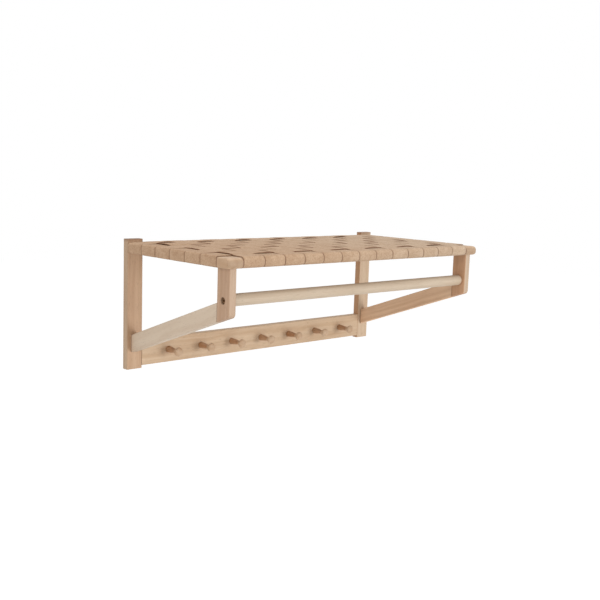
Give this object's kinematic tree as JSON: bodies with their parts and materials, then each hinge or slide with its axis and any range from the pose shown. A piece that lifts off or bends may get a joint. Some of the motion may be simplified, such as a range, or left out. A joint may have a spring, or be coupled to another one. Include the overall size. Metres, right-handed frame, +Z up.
{
  "type": "wall coat rack with shelf",
  "caption": "Wall-hung beech coat rack with a shelf of woven leather straps, a hanging rod between its braced front legs and a rail of turned pegs.",
  "frame": {"origin": "on the wall plane, midway between the round mouths of the two keyholes in the posts' backs", "axes": "+X along the wall to the right, +Y into the wall, +Z up"},
  "size_m": [0.8, 0.386, 0.301],
  "materials": {
    "beech": "satin",
    "strap_leather": "satin",
    "steel": "satin"
  },
  "bodies": {
    "root": {"left_post": "beech", "right_post": "beech", "peg_rail": "beech", "pegs": "beech", "back_rail": "beech", "front_rail": "beech", "left_side_rail": "beech", "right_side_rail": "beech", "left_leg": "beech", "right_leg": "beech", "left_brace": "beech", "right_brace": "beech", "hanging_rod": "beech", "warp_strap_01": "strap_leather", "warp_strap_02": "strap_leather", "warp_strap_03": "strap_leather", "warp_strap_04": "strap_leather", "warp_strap_05": "strap_leather", "warp_strap_06": "strap_leather", "warp_strap_07": "strap_leather", "warp_strap_08": "strap_leather", "warp_strap_09": "strap_leather", "warp_strap_10": "strap_leather", "warp_strap_11": "strap_leather", "warp_strap_12": "strap_leather", "warp_strap_13": "strap_leather", "weft_strap_1": "strap_leather", "weft_strap_2": "strap_leather", "weft_strap_3": "strap_leather", "weft_strap_4": "strap_leather", "weft_strap_5": "strap_leather", "weft_strap_6": "strap_leather", "rod_bolts": "steel", "keyhole_plates": "steel"}
  },
  "joints": []
}
